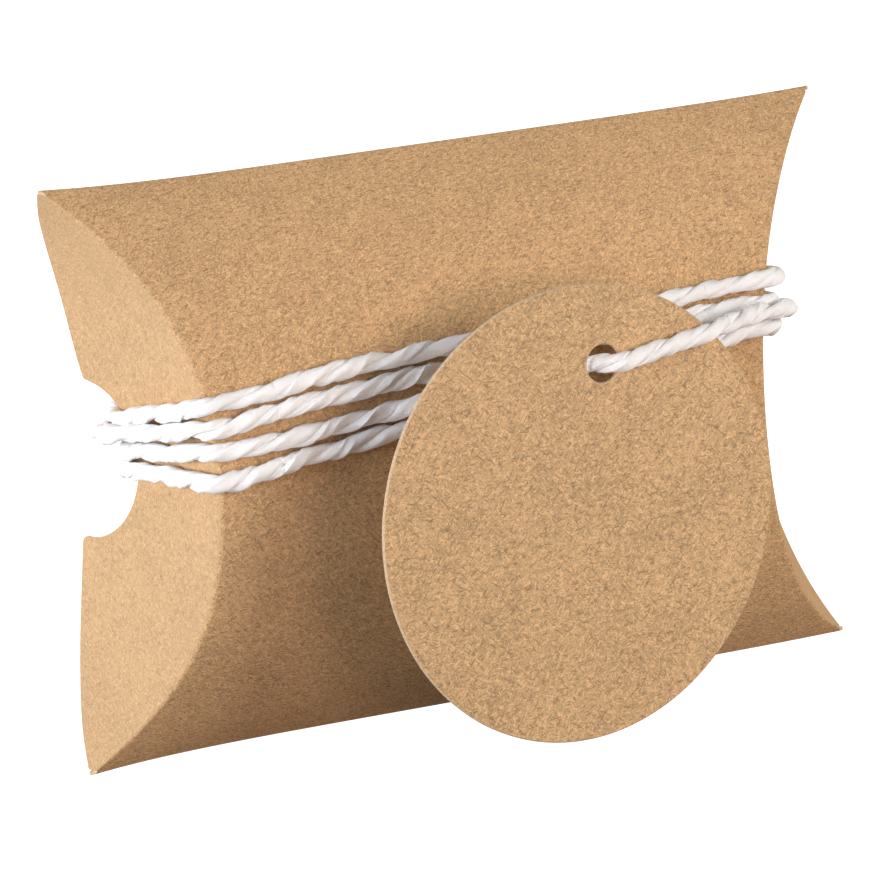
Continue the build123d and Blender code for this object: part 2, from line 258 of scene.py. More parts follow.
class BowedCard:
    """The folded card's surfaces, worked out from its sizes."""

    def __init__(self, sizes):
        self.sizes = sizes
        self.half_length = sizes.length / 2
        self.half_height = sizes.height / 2
        half_depth = sizes.depth / 2
        s_end, c_end = sin(sizes.fold_angle), cos(sizes.fold_angle)
        s_crown, c_crown = sin(sizes.crown_angle), cos(sizes.crown_angle)
        span_part, rise_part = s_end - s_crown, c_crown - c_end
        determinant = s_crown * rise_part - span_part * (1 - c_crown)
        self.crown_radius = (self.half_height * rise_part - span_part * half_depth) / determinant
        self.end_radius = (s_crown * half_depth - (1 - c_crown) * self.half_height) / determinant
        self.half_depth = half_depth

    def depth(self, height):
        """Depth of the bow at a height from the middle."""
        sizes = self.sizes
        height = min(abs(height), self.half_height)
        if height <= self.crown_radius * sin(sizes.crown_angle):
            return self.half_depth - self.crown_radius + sqrt(self.crown_radius**2 - height**2)
        along = self.end_radius * sin(sizes.fold_angle) - self.half_height + height
        return sqrt(self.end_radius**2 - along**2) - self.end_radius * cos(sizes.fold_angle)

    def spring(self, point):
        """Move a point out where the card's corners spring open."""
        along = max(-1, min(1, point[0] / self.half_length))
        up = max(-1, min(1, point[2] / self.half_height))
        near = abs(along) ** CORNER_POWER * abs(up) ** CORNER_POWER
        corner = (1 if along > 0 else -1, 1 if up > 0 else -1)
        flare = self.sizes.corner_flare * near
        return (
            point[0] + CORNER_SLIDE_SHARES[corner] * flare,
            point[1],
            point[2] + CORNER_RISE_SHARES[corner] * flare + self.half_height,
        )

    def bow_loop(self):
        """Closed section (depth, height) round the front, the top fold, the back and the bottom."""
        radius = self.sizes.fold_radius
        turn = pi / 2 - self.sizes.fold_angle
        # The fold's arc touches both bows and has its centre on the middle plane
        reach = radius / sin(self.sizes.fold_angle)
        centre = self.half_height - reach
        last = centre + radius * cos(turn)
        front = []
        for step in range(BOW_STEPS + 1):
            height = -last + 2 * last * step / BOW_STEPS
            front.append((-self.depth(height), height))
        # Draw the bow's last points onto the arc so that the two meet without a step
        meet = radius * sin(turn)
        for at in (0, -1):
            front[at] = (-meet, front[at][1])
        top = []
        for step in range(1, FOLD_STEPS):
            angle = -turn + 2 * turn * step / FOLD_STEPS
            top.append((radius * sin(angle), centre + radius * cos(angle)))
        back = [(-depth, height) for depth, height in reversed(front)]
        bottom = [(depth, -height) for depth, height in reversed(top)]
        return front + top + back + bottom

    def crease(self, depth):
        """How far along the box the crease lies at a depth."""
        return self.half_length - self.sizes.crease_draw * abs(depth)

    def lean(self, height, side):
        """Lean of the outer flap on a side, more towards the bottom."""
        low = self.sizes.left_lower_lean if side < 0 else self.sizes.right_lower_lean
        share = 0.5 + 0.5 * sin(max(-1, min(1, height / self.half_height)) * pi / 2)
        return low + (self.sizes.upper_lean - low) * share

    def softness(self, depth):
        """Share of the crease's rounding that is left at a depth, none at the long folds."""
        return ease(min(1, abs(depth) / self.sizes.crease_fade))

    def crease_point(self, depth, lean, share):
        """Place (along the box, inwards) on a rounded crease, share 0 at the face and 1 at the flap."""
        radius, soft = self.sizes.crease_radius, self.softness(depth)
        turn = pi / 2 - lean * soft
        start = self.crease(depth) - radius * tan(turn / 2)
        return start + radius * sin(turn * share), soft * radius * (1 - cos(turn * share))

    def sleeve_end(self, depth, lean):
        """The sleeve's half of a crease at a depth, from its straight part to mid crease."""
        return [
            self.crease_point(depth, lean, 0.5 * step / CREASE_STEPS)
            for step in range(CREASE_STEPS + 1)
        ]

    def flap_start(self, depth, lean):
        """The flap's half of a crease at a depth, from mid crease to just before its straight part."""
        return [
            self.crease_point(depth, lean, 0.5 + 0.5 * step / CREASE_STEPS)
            for step in range(CREASE_STEPS)
        ]

    def flap_run(self, depth, lean, out):
        """Distance from the end of the crease to a reach past the chord, square to the chord."""
        tangent = self.sizes.crease_radius * tan((pi / 2 - lean) / 2)
        return abs(depth) * (self.sizes.crease_draw * sin(lean) + cos(lean)) + out - tangent

    def flap_point(self, depth, lean, run):
        """Place (along the box, inwards) on a flap at a distance from the end of the crease."""
        out, drop = self.crease_point(depth, lean, 1)
        return out + run * sin(lean), drop + run * cos(lean)


class SCENE_OT_sleeve(bpy.types.Operator):
    """Make the bowed sleeve of the box, both faces and the two long folds"""

    bl_idname = "pillow_box.sleeve"
    bl_label = "Box sleeve"

    def execute(self, context):
        sizes = context.scene.pillow_box
        card = BowedCard(sizes)
        loop = card.bow_loop()
        rows = []
        for depth, height in loop + loop[:1]:
            way = 1 if depth < 0 else -1
            ends = []
            for side in (-1, 1):
                lean = card.lean(height, side) if depth < 0 else -sizes.inner_lean
                ends.append(card.sleeve_end(depth, lean))
            left, right = -ends[0][0][0], ends[1][0][0]
            middle = [
                (left + (right - left) * step / STRAIGHT_STEPS, 0) for step in range(1, STRAIGHT_STEPS)
            ]
            line = [(-out, drop) for out, drop in reversed(ends[0])] + middle + ends[1]
            rows.append([card.spring((x, depth + way * drop, height)) for x, drop in line])
        sleeve = shaped_grid("box_sleeve", rows)
        merge_doubles(sleeve)
        paper(sleeve, "Kraft card", "Kraft cut edge")
        thicken(sleeve, sizes.card, -1)
        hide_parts("front_panel", "back_panel")
        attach(sleeve, "box_body")
        return {"FINISHED"}


def outer_edge(card, height):
    """Reach of the outer flap's free edge past the chord, without its notch."""
    sizes = card.sizes
    share = min(1, abs(height) / card.half_height)
    reach, swell = (sizes.upper_reach, UPPER_SWELL) if height > 0 else (sizes.lower_reach, LOWER_SWELL)
    return sizes.flap_tip + (reach - sizes.flap_tip) * (1 - share**swell)


def notch_lip(card, radius, reach, way):
    """Middle of a lip's rounding and the turn from the notch's middle to it."""
    sizes = card.sizes
    across = reach - radius - sizes.notch_reach
    up = way * sqrt((sizes.notch_radius + radius) ** 2 - across**2)
    return (reach - radius, sizes.notch_rise + up), atan2(up, across) % (2 * pi)


def lip_points(middle, radius, angles):
    """Points round a lip's rounding."""
    return [(middle[0] + radius * cos(angle), middle[1] + radius * sin(angle)) for angle in angles]


def free_edge(card):
    """Points (reach, height) down the outer flap's free edge and round its thumb notch."""
    sizes = card.sizes
    tall = card.half_height - sizes.corner_gap
    upper_lip_reach = sizes.upper_reach - UPPER_LIP_DIP
    lower_lip_reach = sizes.lower_reach - LOWER_LIP_DIP
    upper, upper_turn = notch_lip(card, sizes.upper_lip, upper_lip_reach, 1)
    lower, lower_turn = notch_lip(card, sizes.lower_lip, lower_lip_reach, -1)
    upper = (upper[0], upper[1] - UPPER_LIP_DROP * sin(upper_turn) ** 3)
    points = []
    dip = upper_lip_reach - outer_edge(card, upper[1])
    for step in range(EDGE_STEPS):
        share = step / EDGE_STEPS
        height = tall + (upper[1] - tall) * share
        points.append((outer_edge(card, height) + dip * share**DIP_POWER, height))
    turns = [(upper_turn - pi) * step / LIP_STEPS for step in range(LIP_STEPS)]
    points += lip_points(upper, sizes.upper_lip, turns)
    for step in range(EDGE_STEPS):
        angle = upper_turn + (lower_turn - upper_turn) * step / EDGE_STEPS
        reach = sizes.notch_reach + sizes.notch_radius * cos(angle)
        drop = UPPER_LIP_DROP * max(0, sin(angle)) ** 3
        points.append((reach, sizes.notch_rise + sizes.notch_radius * sin(angle) - drop))
    turns = [(lower_turn - pi) * (1 - step / LIP_STEPS) for step in range(LIP_STEPS)]
    points += lip_points(lower, sizes.lower_lip, turns)
    dip = lower_lip_reach - outer_edge(card, lower[1])
    for step in range(EDGE_STEPS + 1):
        share = step / EDGE_STEPS
        height = lower[1] - (tall + lower[1]) * share
        points.append((outer_edge(card, height) + dip * (1 - share) ** DIP_POWER, height))
    return points


def outer_flap_rows(card, side):
    """Rows of points over an outer flap, each from mid crease to the free edge."""
    tall = card.half_height - card.sizes.corner_gap
    edge = free_edge(card)
    travel = [0.0]
    for (a, b), (c, d) in zip(edge, edge[1:]):
        travel.append(travel[-1] + sqrt((a - c) ** 2 + (b - d) ** 2))
    rows = []
    for (out, height), at in zip(edge, travel):
        base = EVEN_SHARE * tall * (1 - 2 * at / travel[-1]) + (1 - EVEN_SHARE) * height
        depth = card.depth(base)
        row = [(x, drop - depth, base) for x, drop in card.flap_start(depth, card.lean(base, side))]
        full = card.flap_run(card.depth(height), card.lean(height, side), out)
        for step in range(OUTER_FLAP_STEPS + 1):
            share = step / OUTER_FLAP_STEPS
            here = base + (height - base) * share
            x, drop = card.flap_point(card.depth(here), card.lean(here, side), full * share)
            row.append((x, drop - card.depth(here), here))
        rows.append(row)
    return rows


def inner_flap_rows(card, side):
    """Rows of points over an inner flap, each from mid crease to the free edge."""
    sizes = card.sizes
    tall = card.half_height - sizes.corner_relief
    lean = -sizes.inner_lean
    rows = []
    for step in range(INNER_EDGE_STEPS + 1):
        height = tall - 2 * tall * step / INNER_EDGE_STEPS
        swell = 1 - abs(height / tall) ** INNER_SWELL
        out = sizes.flap_tip + (sizes.inner_reach - sizes.flap_tip) * swell
        depth = card.depth(height)
        full = card.flap_run(depth, lean, out)
        profile = card.flap_start(depth, lean)
        for part in range(INNER_FLAP_STEPS + 1):
            profile.append(card.flap_point(depth, lean, full * part / INNER_FLAP_STEPS))
        rows.append([(x, depth - drop, height) for x, drop in profile])
    return rows


class FlapMaker:
    """Shared steps of the four flaps."""

    def make(self, context, name, rows_of, side, node, body):
        """Make one flap from the function that gives its rows of points."""
        sizes = context.scene.pillow_box
        card = BowedCard(sizes)
        rows = [[card.spring((side * x, y, z)) for x, y, z in row] for row in rows_of(card, side)]
        if (side > 0) == (rows_of is outer_flap_rows):
            rows = [list(row) for row in reversed(rows)]
        flap = shaped_grid(name, rows)
        paper(flap, "Flap card", "Kraft cut edge")
        thicken(flap, sizes.card, -1)
        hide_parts(node)
        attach(flap, body)


class SCENE_OT_outer_flaps(bpy.types.Operator, FlapMaker):
    """Make the two outer flaps with their thumb notches"""

    bl_idname = "pillow_box.outer_flaps"
    bl_label = "Outer flaps"

    def execute(self, context):
        self.make(context, "left_thumb_flap", outer_flap_rows, -1, "left_outer_flap", "left_outer")
        self.make(context, "right_thumb_flap", outer_flap_rows, 1, "right_outer_flap", "right_outer")
        return {"FINISHED"}


class SCENE_OT_inner_flaps(bpy.types.Operator, FlapMaker):
    """Make the two inner flaps that tuck in first"""

    bl_idname = "pillow_box.inner_flaps"
    bl_label = "Inner flaps"

    def execute(self, context):
        self.make(context, "left_tuck_flap", inner_flap_rows, -1, "left_inner_flap", "left_inner")
        self.make(context, "right_tuck_flap", inner_flap_rows, 1, "right_inner_flap", "right_inner")
        return {"FINISHED"}


class SCENE_OT_tag(bpy.types.Operator):
    """Make the blank round tag with its punched hole"""

    bl_idname = "pillow_box.tag"
    bl_label = "Round tag"

    def execute(self, context):
        sizes = context.scene.pillow_tag
        axis = Vector((cos(sizes.yaw), sin(sizes.yaw), 0))
        front = Vector(
            (sin(sizes.yaw) * cos(sizes.pitch), -cos(sizes.yaw) * cos(sizes.pitch), sin(sizes.pitch))
        )
        up = front.cross(axis)
        hole = Vector((sizes.hole_x, sizes.hole_y, sizes.hole_z))
        hang = sizes.diameter / 2 - sizes.hole_inset
        middle = (-hang * sin(sizes.roll), -hang * cos(sizes.roll))
        columns = []
        for ring in range(TAG_RINGS + 1):
            share = ring / TAG_RINGS
            column = []
            for step in range(TAG_STEPS + 1):
                angle = 2 * pi * step / TAG_STEPS
                across, rise = (
                    (1 - share) * sizes.hole / 2 * part + share * (place + sizes.diameter / 2 * part)
                    for part, place in zip((cos(angle), sin(angle)), middle)
                )
                # The card dishes a touch, as a punched disc does
                warp = WARP_DEPTH * sin(WARP_ACROSS * across + WARP_START) * cos(WARP_UP * rise)
                column.append(tuple(hole + axis * across + up * rise + front * warp))
            columns.append(column)
        tag = shaped_grid("paper_tag", columns)
        merge_doubles(tag)
        paper(tag, "Tag card", "Tag cut edge")
        thicken(tag, sizes.card, 0)
        # Bevel the rim in the cut edge colour: a real paler cut edge that also stands partly as a painted
        # highlight round the tag.
        highlighted = tag.modifiers.new("Highlighted rim", "BEVEL")
        highlighted.width = sizes.rim_highlight
        highlighted.segments = 1
        highlighted.limit_method = "ANGLE"
        highlighted.angle_limit = RIM_ANGLE
        highlighted.material = 1
        apply_modifiers(tag)
        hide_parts("round_tag")
        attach(tag, "hanging_tag")
        return {"FINISHED"}


# Spacing (in rings) and strength of the twine's irregularities
QUICK_TURN, SLOW_TURN = (9, 0.45), (31, 0.8)
LOOSENESS, ROLL = (14, 0.24), (22, 0.5)
WIDTH_CHANGE, THICKNESS_CHANGE = (11, 0.15), (8, 0.17)
DENTS, PITS = (5, 0.08), (2, 0.03)

# Seeds of the plies, and of the dents and pits along each side of a ply
PLY_SEEDS = (100, 300)
DENT_SEED, PIT_SEED = 11, 41

# Points read for each bend of the route, and the shortest run kept between two of them
ROUTE_RESOLUTION, SHORTEST_RUN = 14, 1e-7

# How far a ply's section fills its width and thickness, and the scale of its map along the twine
SECTION_FILL, MAP_LENGTHS_PER_METRE = 0.94, 100

# The twine is cut here into its middle and its two ends
TWINE_SPLIT = 26 * MM

# Points of the twine's route in millimetres: tail, half knot, four turns and last tail
TWINE_ROUTE = (
    (19, 12.5, 16.5), (15, 13.5, 18.9), (10.5, 15.7, 22.2), (6, 17.8, 25.3), (3, 16, 27.3),
    (0, 14.1, 25.3), (-3, 16, 23.3), (-6, 17.8, 25.3), (-9.5, 17.7, 28.1), (-13.5, 17.7, 33.6),
    (-18, 17.4, 38.8), (-22.5, 15.5, 40.6), (-28, 14.3, 40), (-32, 13.6, 38.8), (-33.9, 13.6, 38.8),
    (-34.5, 12.2, 38.8), (-38.6, 3.7, 38.4), (-39.2, 2.3, 38.4), (-38.8, 0.9, 38.7),
    (-34.8, -11.8, 41.6), (-34.3, -13.2, 41.9), (-32.6, -13.2, 41.9), (-19.1, -12.9, 43.7),
    (-4.8, -12.7, 44.5), (22.3, -12.5, 45.7), (29.5, -12.3, 46.3), (33.6, -12.3, 46.5),
    (35.3, -12.3, 46.5), (35.7, -10.8, 46.2), (40.9, 6.1, 42.7), (41.4, 7.5, 42.4), (40.2, 8.4, 42.5),
    (35.3, 12.1, 42.8), (34.2, 13, 42.9), (32.3, 13, 42.9), (-31.7, 13.8, 36.1), (-33.6, 13.8, 36.1),
    (-34.4, 12.5, 36.2), (-40.4, 3, 37), (-41.2, 1.8, 37.1), (-40.5, 0.4, 37.3), (-34.6, -12.2, 39.2),
    (-34, -13.5, 39.4), (-32.3, -13.5, 39.4), (-20.6, -13.3, 41), (-6.7, -13.2, 42), (25, -12.9, 43.5),
    (29.8, -12.8, 43.9), (33, -12.9, 43.8), (34.7, -12.9, 43.8), (35.1, -11.5, 43.5), (39.7, 2.5, 40.6),
    (40.1, 3.9, 40.3), (39.3, 5.2, 40.4), (34.8, 12.1, 40.7), (34, 13.3, 40.8), (32.1, 13.3, 40.8),
    (-31.7, 13.9, 33.2), (-33.6, 13.9, 33.2), (-34.1, 12.5, 33.4), (-37.8, 2.5, 34.7),
    (-38.3, 1.1, 34.9), (-37.9, -0.3, 35.1), (-34.2, -12.3, 36.7), (-33.8, -13.7, 36.9),
    (-32.1, -13.7, 36.9), (-22.8, -13.7, 37.2), (-17.5, -13.7, 37.9), (-9.4, -13.9, 38.9),
    (1, -16.6, 40.4), (7.6, -19.2, 41.7), (9.5, -21.2, 41.9), (10.6, -22.3, 42), (14.1, -21.4, 42.2),
    (20.8, -20.2, 42.9), (25.4, -18.6, 43.4), (30.8, -16.4, 43.8), (34, -14.5, 43.3),
    (35.7, -14.5, 43.3), (36.1, -13.1, 43), (41.4, 1.7, 39.4), (41.9, 3.1, 39.1), (41, 4.3, 39),
    (34.7, 12.4, 38.6), (33.8, 13.6, 38.5), (31.9, 13.6, 38.5), (28, 14.5, 38), (24, 15, 36.6),
    (18, 14.9, 35.6), (-31.7, 13.9, 30.3), (-33.6, 13.9, 30.3), (-34.1, 12.5, 30.6), (-38.1, 2.3, 32.7),
    (-38.6, 1, 33), (-38.1, -0.5, 33), (-34.1, -12.5, 33.4), (-33.6, -13.9, 33.5), (-31.9, -13.9, 33.5),
    (-23.7, -13.9, 34.7), (-10.9, -13.8, 36.4), (7, -14.2, 36.8), (14.5, -14.1, 37.3),
    (27.7, -13.4, 40.7), (32.5, -13.3, 41.3), (34.2, -13.3, 41.3), (34.7, -11.9, 41), (38.7, 0.6, 37.8),
    (39.1, 2, 37.5), (38.5, 3.4, 37.4), (34.3, 12.4, 37), (33.7, 13.7, 36.9), (31.8, 13.7, 36.9),
    (24, 14.5, 33), (14, 14.3, 27.4), (6, 14.1, 25.3), (3, 16, 23.3), (0, 17.8, 25.3), (-3, 16, 27.3),
    (-6, 14.1, 25.3), (-10.5, 13.6, 22.7), (-15, 13.2, 19.3), (-19, 12.7, 17.1),
)


def smooth_line(route):
    """Points read from one smooth spline through the route's bends."""
    curve = bpy.data.curves.new("twine_line", "CURVE")
    curve.dimensions = "3D"
    curve.resolution_u = ROUTE_RESOLUTION
    spline = curve.splines.new("NURBS")
    spline.points.add(len(route) - 1)
    for point, place in zip(spline.points, route):
        point.co = (place[0] * MM, place[1] * MM, place[2] * MM, 1)
    spline.order_u = 3
    spline.use_endpoint_u = True
    line = bpy.data.objects.new("twine_line", curve)
    bpy.context.scene.collection.objects.link(line)
    bpy.context.view_layer.update()
    mesh = bpy.data.meshes.new_from_object(line)
    places = np.array([vertex.co for vertex in mesh.vertices], float)
    bpy.data.meshes.remove(mesh)
    bpy.data.objects.remove(line)
    bpy.data.curves.remove(curve)
    return places


def even_points(places, step):
    """The line's points again, evenly spaced, and how far along it each lies."""
    runs = np.linalg.norm(np.diff(places, axis=0), axis=1)
    keep = np.concatenate(([True], runs > SHORTEST_RUN))
    places = places[keep]
    travel = np.concatenate(([0], np.cumsum(np.linalg.norm(np.diff(places, axis=0), axis=1))))
    count = int(travel[-1] / step)
    at = np.linspace(0, travel[-1], count + 1)
    return np.stack([np.interp(at, travel, places[:, k]) for k in range(3)], axis=1), at


def directions_across(line):
    """Two directions square to the line at each point, carried along without twist."""
    tangents = np.gradient(line, axis=0)
    tangents /= np.linalg.norm(tangents, axis=1)[:, None]
    first = np.cross(tangents[0], (0.0, 0.0, 1.0))
    first /= np.linalg.norm(first)
    sides = [first]
    for tangent in tangents[1:]:
        side = sides[-1] - tangent * np.dot(sides[-1], tangent)
        sides.append(side / np.linalg.norm(side))
    sides = np.array(sides)
    return sides, np.cross(tangents, sides)


def wander(count, seed, spacing, strength):
    """Smooth random values along the twine."""
    random = np.random.default_rng(seed)
    knots = random.uniform(-1, 1, int(count / spacing) + 4)
    at = np.arange(count) / spacing
    low = at.astype(int)
    part = ease(at - low)
    return strength * (knots[low] * (1 - part) + knots[low + 1] * part)


def ply_rings(line, travel, sizes, phase, seed):
    """Rings of points round one ply, which is flattened and dented like twisted paper."""
    sides, ups = directions_across(line)
    count = len(line)
    wobble = wander(count, seed, *QUICK_TURN) + wander(count, seed + 1, *SLOW_TURN)
    angle = -2 * pi * travel / sizes.twist + phase + wobble
    radial = sides * np.cos(angle)[:, None] + ups * np.sin(angle)[:, None]
    around = -sides * np.sin(angle)[:, None] + ups * np.cos(angle)[:, None]
    offset = sizes.ply_offset * (1 + wander(count, seed + 2, *LOOSENESS))
    centre = line + radial * offset[:, None]
    roll = wander(count, seed + 3, *ROLL)
    rolled_across, rolled_out = np.cos(roll), np.sin(roll)
    wide = sizes.ply_width / 2 * (1 + wander(count, seed + 4, *WIDTH_CHANGE))
    thick = sizes.ply_thickness / 2 * (1 + wander(count, seed + 5, *THICKNESS_CHANGE))
    rings = []
    for side in range(sizes.sides):
        turn = 2 * pi * side / sizes.sides
        across, out = cos(turn), sin(turn)
        # A section between an ellipse and a box, dented all along as creased paper is
        bulge = (abs(across) ** 3 + abs(out) ** 3) ** (-1 / 3)
        dents = wander(count, seed + DENT_SEED + side, *DENTS)
        crumple = 1 + dents + wander(count, seed + PIT_SEED + side, *PITS)
        a = wide * across * bulge * SECTION_FILL * crumple
        b = thick * out * bulge * SECTION_FILL * crumple
        rings.append(
            centre
            + around * (a * rolled_across - b * rolled_out)[:, None]
            + radial * (a * rolled_out + b * rolled_across)[:, None]
        )
    return np.stack(rings, axis=1)


def tube_mesh(name, rings, travel):
    """Closed tube through rings of points, with its length and its turn kept as a UV map."""
    count, sides = rings.shape[:2]
    vertices = rings.reshape(-1, 3)
    faces = []
    for start in range(0, (count - 1) * sides, sides):
        for side in range(sides):
            after = (side + 1) % sides
            faces.append((start + side, start + after, start + sides + after, start + sides + side))
    faces.append(tuple(reversed(range(sides))))
    faces.append(tuple(range((count - 1) * sides, count * sides)))
    mesh = bpy.data.meshes.new(name)
    mesh.from_pydata([tuple(v) for v in vertices], [], faces)
    layer = mesh.uv_layers.new(name="Along")
    uv = np.zeros((len(mesh.loops), 2), np.float32)
    index = np.zeros(len(mesh.loops), np.int64)
    mesh.loops.foreach_get("vertex_index", index)
    uv[:, 0] = travel[index // sides] * MAP_LENGTHS_PER_METRE
    uv[:, 1] = (index % sides) / sides
    layer.data.foreach_set("uv", uv.ravel())
    mesh.validate()
    tube = bpy.data.objects.new(name, mesh)
    bpy.context.scene.collection.objects.link(tube)
    return tube


def keep_between(source, name, low, high):
    """A copy of the twine cut square to the box's length at low and high, its ends closed."""
    part = source.copy()
    part.data = source.data.copy()
    part.name = part.data.name = name
    bpy.context.scene.collection.objects.link(part)
    pick(part)
    bpy.ops.object.mode_set(mode="EDIT")
    for place, way in ((low, 1), (high, -1)):
        if place is None:
            continue
        bpy.ops.mesh.select_all(action="SELECT")
        bpy.ops.mesh.bisect(
            plane_co=(place, 0, 0), plane_no=(way, 0, 0), use_fill=True, clear_inner=True
        )
    bpy.ops.object.mode_set(mode="OBJECT")
    return part


class SCENE_OT_twine(bpy.types.Operator):
    """Make the twisted paper twine, its half knot and its tails"""

    bl_idname = "pillow_box.twine"
    bl_label = "Paper twine"

    def execute(self, context):
        sizes = context.scene.pillow_twine
        line, travel = even_points(smooth_line(TWINE_ROUTE), sizes.step)
        plies = []
        for at, seed in enumerate(PLY_SEEDS):
            rings = ply_rings(line, travel, sizes, at * pi, seed)
            plies.append(tube_mesh(f"twine_ply_{at}", rings, travel))
        pick(plies[0])
        plies[1].select_set(True)
        bpy.ops.object.join()
        whole = bpy.context.active_object
        bpy.ops.object.shade_smooth_by_angle(angle=TWINE_SMOOTH_ANGLE)
        whole.data.materials.append(material_named("Paper twine"))
        middle = keep_between(whole, "twine_middle", -TWINE_SPLIT, TWINE_SPLIT)
        left = keep_between(whole, "twine_left_end", None, -TWINE_SPLIT)
        right = keep_between(whole, "twine_right_end", TWINE_SPLIT, None)
        bpy.data.objects.remove(whole)
        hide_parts("cord_winding")
        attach(middle, "box_body")
        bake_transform(left)
        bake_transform(right)
        return {"FINISHED"}


def material_named(name):
    """The material of that name."""
    return bpy.data.materials[name]


def shade(colour, factor):
    """A colour made lighter or darker."""
    return tuple(min(1, part * factor) for part in colour) + (1.0,)


class Finish:
    """A node material in the making, with the steps that the materials share."""

    def __init__(self, name):
        self.material = bpy.data.materials.new(name)
        self.material.use_nodes = True
        self.nodes, self.links = self.material.node_tree.nodes, self.material.node_tree.links
        self.shader = self.nodes["Principled BSDF"]

    def place(self, kind="Object"):
        """Where a point lies on the piece."""
        return self.nodes.new("ShaderNodeTexCoord").outputs[kind]

    def noise(self, vector, scale, detail, roughness):
        """Noise texture read at a vector, as a grey value."""
        texture = self.nodes.new("ShaderNodeTexNoise")
        texture.inputs["Scale"].default_value = scale
        texture.inputs["Detail"].default_value = detail
        texture.inputs["Roughness"].default_value = roughness
        self.links.new(vector, texture.inputs["Vector"])
        return texture.outputs["Fac"]

    def fibres(self, vector, turns, scale):
        """Short fibres that lie along one direction of the card."""
        mapping = self.nodes.new("ShaderNodeMapping")
        mapping.vector_type = "TEXTURE"
        mapping.inputs["Rotation"].default_value = [radians(turn) for turn in turns]
        mapping.inputs["Scale"].default_value = (1 / scale, 1 / (scale * FIBRE_SHARE), 1 / scale)
        self.links.new(vector, mapping.inputs["Vector"])
        return self.noise(mapping.outputs["Vector"], 1.0, detail=1.5, roughness=0.5)

    def ramp(self, value, low, high, light=1.0):
        """A grey value that rises from 0 at low to light at high."""
        spread = self.nodes.new("ShaderNodeMapRange")
        spread.interpolation_type = "SMOOTHSTEP"
        spread.inputs["From Min"].default_value = low
        spread.inputs["From Max"].default_value = high
        spread.inputs["To Max"].default_value = light
        self.links.new(value, spread.inputs["Value"])
        return spread.outputs["Result"]

    def tint(self, colour, factor, other):
        """A colour mixed towards another by a grey value."""
        mix = self.nodes.new("ShaderNodeMix")
        mix.data_type = "RGBA"
        self.links.new(factor, mix.inputs["Factor"])
        if isinstance(colour, tuple):
            mix.inputs["A"].default_value = colour
        else:
            self.links.new(colour, mix.inputs["A"])
        mix.inputs["B"].default_value = other
        return mix.outputs["Result"]

    def combine(self, operation, first, second):
        """Two grey values added or multiplied."""
        result = self.nodes.new("ShaderNodeMath")
        result.operation = operation
        self.links.new(first, result.inputs[0])
        self.links.new(second, result.inputs[1])
        return result.outputs[0]

    def surface(self, colour, roughness, gloss):
        """Give the shader its colour, its roughness and its gloss."""
        self.links.new(colour, self.shader.inputs["Base Color"])
        self.shader.inputs["Roughness"].default_value = roughness
        self.shader.inputs["Specular IOR Level"].default_value = gloss

    def emboss(self, height, strength, depth):
        """Press a grey value into the surface."""
        bump = self.nodes.new("ShaderNodeBump")
        bump.inputs["Strength"].default_value = strength
        bump.inputs["Distance"].default_value = depth
        self.links.new(height, bump.inputs["Height"])
        self.links.new(bump.outputs["Normal"], self.shader.inputs["Normal"])


# Scales for each metre of the card's clouds, grain, specks and fibres, and a fibre's width as a share
CLOUD_SCALE, GRAIN_SCALE, SPECK_SCALE = 150, 4800, 260
PALE_FIBRE_SCALE, DARK_FIBRE_SCALE, FIBRE_SHARE = 6400, 5700, 0.17

# Turns in degrees: of the fibres in their plane, and of that plane on the box's faces and ends
PALE_FIBRE_TURNS, DARK_FIBRE_TURNS = (18, 62, 107, 156), (40, 88, 137)
FACE_PLANE_TURN, END_PLANE_TURN = 82, 8


def fibre_turns(angles, end_facing):
    """Turns that lay fibres in the plane of the box's faces, or of its ends."""
    if end_facing:
        return [(angle, 0, END_PLANE_TURN) for angle in angles]
    return [(FACE_PLANE_TURN, angle, 0) for angle in angles]


def kraft_material(name, colour, contrast=1.0, end_facing=False):
    """Uncoated kraft card: soft clouds, fine grain, thin pale and dark fibres and rare specks."""
    card = Finish(name)
    place = card.place()
    cloud = card.noise(place, CLOUD_SCALE, detail=4, roughness=0.75)
    grain = card.noise(place, GRAIN_SCALE, detail=2, roughness=0.6)
    dull, bright = shade(colour, 1 - 0.10 * contrast), shade(colour, 1 + 0.09 * contrast)
    result = card.tint(dull, card.ramp(cloud, low=0.32, high=0.68), bright)
    darker = card.ramp(grain, low=0.50, high=0.32, light=0.40 * contrast)
    result = card.tint(result, darker, shade(colour, 0.62))
    lighter = card.ramp(grain, low=0.50, high=0.70, light=0.30 * contrast)
    result = card.tint(result, lighter, shade(colour, 1.38))
    height = None
    for turns in fibre_turns(PALE_FIBRE_TURNS, end_facing):
        fibres = card.fibres(place, turns, PALE_FIBRE_SCALE)
        pale = card.ramp(fibres, low=0.58, high=0.69, light=0.64 * contrast)
        result = card.tint(result, pale, shade(colour, 1.55))
        height = height or card.combine("ADD", grain, fibres)
    for turns in fibre_turns(DARK_FIBRE_TURNS, end_facing):
        fibres = card.fibres(place, turns, DARK_FIBRE_SCALE)
        deep = card.ramp(fibres, low=0.58, high=0.70, light=0.64 * contrast)
        result = card.tint(result, deep, shade(colour, 0.46))
    specks = card.nodes.new("ShaderNodeTexVoronoi")
    specks.inputs["Scale"].default_value = SPECK_SCALE
    card.links.new(place, specks.inputs["Vector"])
    close = card.ramp(specks.outputs["Distance"], low=0.060, high=0.035, light=0.60)
    chosen = card.nodes.new("ShaderNodeSeparateColor")
    card.links.new(specks.outputs["Color"], chosen.inputs["Color"])
    rare = card.ramp(chosen.outputs["Red"], low=0.86, high=0.88)
    result = card.tint(result, card.combine("MULTIPLY", close, rare), shade(colour, 0.25))
    card.surface(result, roughness=0.88, gloss=0.22)
    card.emboss(height, strength=0.25, depth=0.06 * MM)


